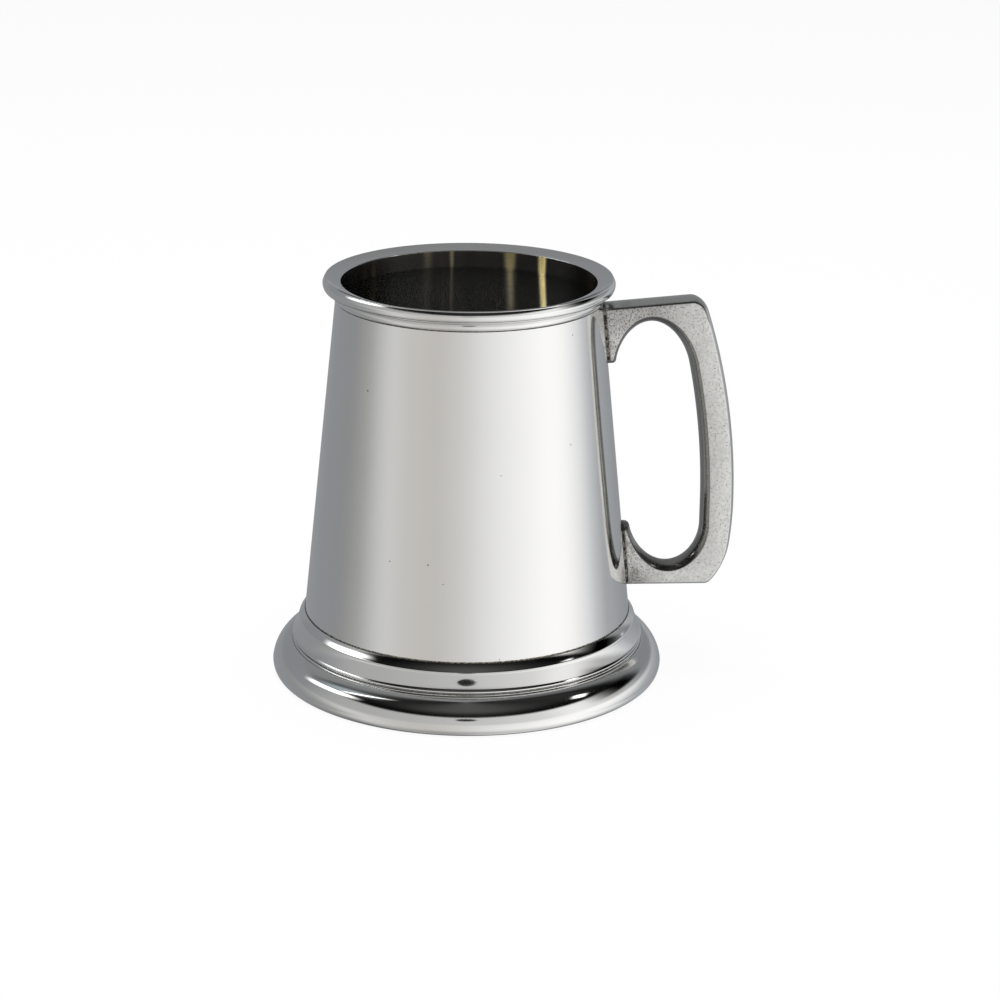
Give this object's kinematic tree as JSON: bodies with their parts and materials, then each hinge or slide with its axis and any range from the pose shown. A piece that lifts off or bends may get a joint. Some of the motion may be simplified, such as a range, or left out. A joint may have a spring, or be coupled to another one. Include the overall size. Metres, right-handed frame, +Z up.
{
  "type": "pewter mug",
  "caption": "Straight-sided tapered pewter drinking mug with a flared dished rim, a wide stepped foot and a flat-sided cast handle.",
  "frame": {"origin": "bottom centre of the bounding box, on the plane that the foot stands on", "axes": "+Z up along the mug's axis, +X towards the handle, +Y to the left of someone who looks along +X"},
  "size_m": [0.1382, 0.1168, 0.12],
  "materials": {
    "polished_pewter": "mirror-polished pewter",
    "cast_pewter": "satin cast pewter with fine pits",
    "spun_pewter": "spun pewter, slightly yellowed",
    "solder": "dull tarnished solder"
  },
  "bodies": {
    "root": {"barrel": "polished_pewter", "rim": "polished_pewter", "foot": "polished_pewter", "base_disc": "spun_pewter", "handle": "cast_pewter", "rim_solder": "solder", "foot_solder": "solder", "base_solder": "solder", "upper_handle_solder": "solder", "lower_handle_solder": "solder"}
  },
  "joints": []
}
